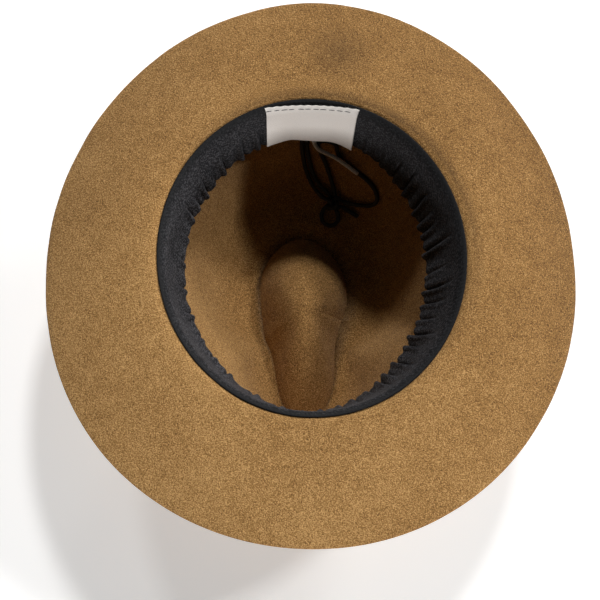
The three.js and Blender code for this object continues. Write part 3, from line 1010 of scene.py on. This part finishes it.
def ribbon_material():
    """Twill ribbon: diagonal ribs and flecks of dust, painted lighter on one side and painted shade on the
    other, with a darker top edge that is partly binding and partly painted shade.
    """
    nodes = Nodes("ribbon", Sheen_Weight=0.04, Sheen_Roughness=0.4)
    nodes.shader.inputs["Specular IOR Level"].default_value = 0.25
    cloth = nodes.coordinates("UV")
    place = nodes.coordinates("Object")
    ribs = {"Scale": 260, "Distortion": 1.2, "Detail": 2}
    twill = nodes.texture("ShaderNodeTexWave", cloth, ribs, wave_type="BANDS", bands_direction="DIAGONAL")
    twill = twill.outputs["Fac"]
    fleck = nodes.noise(place, scale=950, detail=2, roughness=0.75)
    wear = nodes.noise(place, scale=70, detail=2, roughness=0.5)
    tone = nodes.line(twill, 0.06, nodes.line(fleck, 5.8, -2.62))
    tone = nodes.math("ADD", tone, nodes.line(wear, 0.3, -0.07))
    # Painted light and shade: the ribbon keeps its own tone towards one side and is mixed with the painted
    # shade colour towards the other.
    painted_light_side = nodes.clamp(nodes.line(nodes.along(place, RIBBON_PAINTED_LIGHT_WAY), RIBBON_PAINTED_LIGHT_STRENGTH, 0.5))
    body = nodes.mix(nodes.line(painted_light_side, 0.62, 0.38), RIBBON_PAINTED_SHADE, nodes.ramp(tone, RIBBON_COLOURS))
    down = nodes.add("ShaderNodeSeparateXYZ")
    nodes.link(cloth, down.inputs[0])
    # The top edge: partly a darker binding, partly painted shade where the ribbon meets the felt.
    edge = nodes.math("SUBTRACT", 1.0, nodes.math("DIVIDE", down.outputs["Y"], RIBBON_EDGE * MM))
    nodes.colour(nodes.mix(nodes.math("MAXIMUM", edge, 0.0), body, RIBBON_EDGE_AND_SHADE_COLOUR))
    nodes.rough(nodes.line(fleck, 0.2, 0.62))
    nodes.relief(nodes.line(twill, 0.4, fleck), 0.0004, 0.6)
    return nodes.material


def satin_material():
    """White woven satin, a little soiled."""
    nodes = Nodes("satin", Sheen_Weight=0.1)
    nodes.shader.inputs["Specular IOR Level"].default_value = 0.45
    cloth = nodes.coordinates("UV", (3600, 3600, 3600))
    threads = {"Scale": 1.0, "Mortar Size": 0.12, "Brick Width": 1.6, "Row Height": 0.8}
    colours = {key: (*colour, 1) for key, colour in SATIN_COLOURS.items()}
    weave = nodes.texture("ShaderNodeTexBrick", cloth, threads | colours, offset=0.5)
    soil = nodes.noise(nodes.coordinates("Object"), scale=60, detail=3, roughness=0.6)
    nodes.colour(nodes.mix(nodes.math("MULTIPLY", soil, 0.15), weave.outputs["Color"], SATIN_SOIL))
    nodes.rough(nodes.line(soil, 0.2, 0.4))
    nodes.relief(weave.outputs["Fac"], 0.00008, 0.4)
    return nodes.material


def thread_material(name, dark, light):
    """Matte thread or cord, from a dark to a light colour by its fibres."""
    nodes = Nodes(name)
    fibre = nodes.noise(nodes.coordinates("Object"), scale=1800, detail=2, roughness=0.7)
    nodes.colour(nodes.ramp(fibre, [(0.3, dark), (0.75, light)]))
    nodes.rough(nodes.line(fibre, 0.2, 0.6))
    nodes.relief(fibre, 0.0002, 0.5)
    return nodes.material


def floor_material():
    """A plain pale studio floor that glows a little, so that shadows on it stay light."""
    nodes = Nodes("floor", Roughness=0.9, Emission_Color=(1, 1, 1, 1), Emission_Strength=FLOOR_GLOW)
    tone = nodes.noise(nodes.coordinates("Object"), scale=3, detail=2, roughness=0.5)
    nodes.colour(nodes.ramp(tone, FLOOR_COLOURS))
    return nodes.material


# ---- The scene


def add_camera():
    """The photo's camera, looking down into the hat from its front."""
    data = bpy.data.cameras.new("camera")
    data.sensor_width, data.lens = SENSOR_WIDTH, LENS
    camera = bpy.data.objects.new("camera", data)
    forward = (Vector(CAMERA_AIM) - Vector(CAMERA_AT)).normalized()
    right = forward.cross(Vector((0, 1, 0))).normalized()
    up = right.cross(forward)
    place = Matrix((right, up, -forward)).transposed().to_4x4()
    place.translation = CAMERA_AT
    camera.matrix_world = place
    bpy.context.scene.collection.objects.link(camera)
    bpy.context.scene.camera = camera


def add_light(name, turn, height, share):
    """A distant soft light: its turn and height in degrees, and how bright a white sheet facing it is."""
    data = bpy.data.lights.new(name, "AREA")
    data.size = LIGHT_SIZE
    data.energy = math.pi**2 * share * LIGHT_DISTANCE**2
    light = bpy.data.objects.new(name, data)
    level, up = math.cos(math.radians(height)), math.sin(math.radians(height))
    way = Vector((level * math.cos(math.radians(turn)), level * math.sin(math.radians(turn)), up))
    light.location = Vector((0, 0, CROWN_HEIGHT * MM)) + way * LIGHT_DISTANCE
    light.rotation_euler = way.to_track_quat("Z", "Y").to_euler()
    bpy.context.scene.collection.objects.link(light)


def add_studio():
    """The world, the lights and the floor."""
    world = bpy.data.worlds.new("studio")
    world.use_nodes = True
    background = world.node_tree.nodes["Background"]
    background.inputs["Color"].default_value = WORLD_COLOUR
    background.inputs["Strength"].default_value = WORLD_STRENGTH
    bpy.context.scene.world = world
    bpy.context.scene.view_settings.view_transform = "Standard"
    for light in LIGHTS:
        add_light(*light)
    bpy.ops.mesh.primitive_grid_add(
        x_subdivisions=8, y_subdivisions=8, size=FLOOR_SIZE, location=(0, 0, FLOOR_HEIGHT)
    )
    floor = bpy.context.object
    floor.name = "floor"
    floor.data.materials.append(floor_material())


def finish_piece(made, material, slot, *nodes):
    """Gives a piece its material, hangs it under the root body and hides the CAD nodes that it stands for;
    slot is not used.
    """
    made.data.materials.append(material)
    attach(made, "root")
    if nodes:
        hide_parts(*nodes)
    return made


def add_cords(material, painted_lighting):
    """The drawstring: five cords, one painted a light grey as if lit, the short tail and the bow's knot."""
    made, lengths, paths = {}, {}, {}
    for name, points in DRAWSTRING.items():
        path, length = smooth_path(points, CORD_STEP)
        cord = cord_tube(name.replace("drawstring", "cord"), path)
        # The cut end gets the cord colours painted lighter, as if lit.
        made[name] = finish_piece(cord, painted_lighting if name == "drawstring_cut_end" else material, "cord", name)
        paths[name], lengths[name] = path * MM, length * MM
    knot = finish_piece(cord_tube("bow_knot", knot_path()), material, "cord", "drawstring_knot")


def add_ribbon(thread):
    """The ribbon and the stitches along its top."""
    ribbon, middle = sweatband()
    finish_piece(ribbon, ribbon_material(), "ribbon", "sweatband")
    line, inner = inner_row(middle, RIBBON_STITCH_ROW, True)
    line = line + inner * BAND_THICKNESS / 2
    sizes = RIBBON_STITCH_PITCH, RIBBON_STITCH_LENGTH, RIBBON_STITCH_THICKNESS
    seam = finish_piece(stitches("ribbon_stitches", line, inner, *sizes), thread, "ribbon")
    return ribbon, seam


def add_label(thread):
    """The label and the stitches that hold it."""
    label, middle = label_tag()
    finish_piece(label, satin_material(), "satin", "label")
    line, inner = inner_row(middle, round(LABEL_STITCH_DOWN / LABEL_HEIGHT * (LABEL_ROWS - 1)), False)
    line = line + inner * LABEL_THICKNESS / 2
    sizes = LABEL_STITCH_PITCH, LABEL_STITCH_LENGTH, LABEL_STITCH_THICKNESS
    tack = finish_piece(stitches("label_stitches", line, inner, *sizes), thread, "satin")
    return label, tack


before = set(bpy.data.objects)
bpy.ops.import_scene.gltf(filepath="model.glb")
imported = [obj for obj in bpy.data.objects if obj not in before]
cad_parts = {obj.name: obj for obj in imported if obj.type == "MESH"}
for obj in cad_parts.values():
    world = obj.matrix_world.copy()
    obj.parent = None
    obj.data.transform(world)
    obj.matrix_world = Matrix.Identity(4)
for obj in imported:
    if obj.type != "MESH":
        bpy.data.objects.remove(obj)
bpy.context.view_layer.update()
add_camera()
add_cords(thread_material("cord", *CORD_COLOURS), thread_material("cord_painted_light", *CUT_END_PAINTED_LIGHT_COLOURS))
finish_piece(felt_body(), felt_material(), "felt", "felt_body")
thread_black = thread_material("thread", *THREAD_COLOURS)
band, seam = add_ribbon(thread_black)
label, tack = add_label(thread_black)

add_studio()
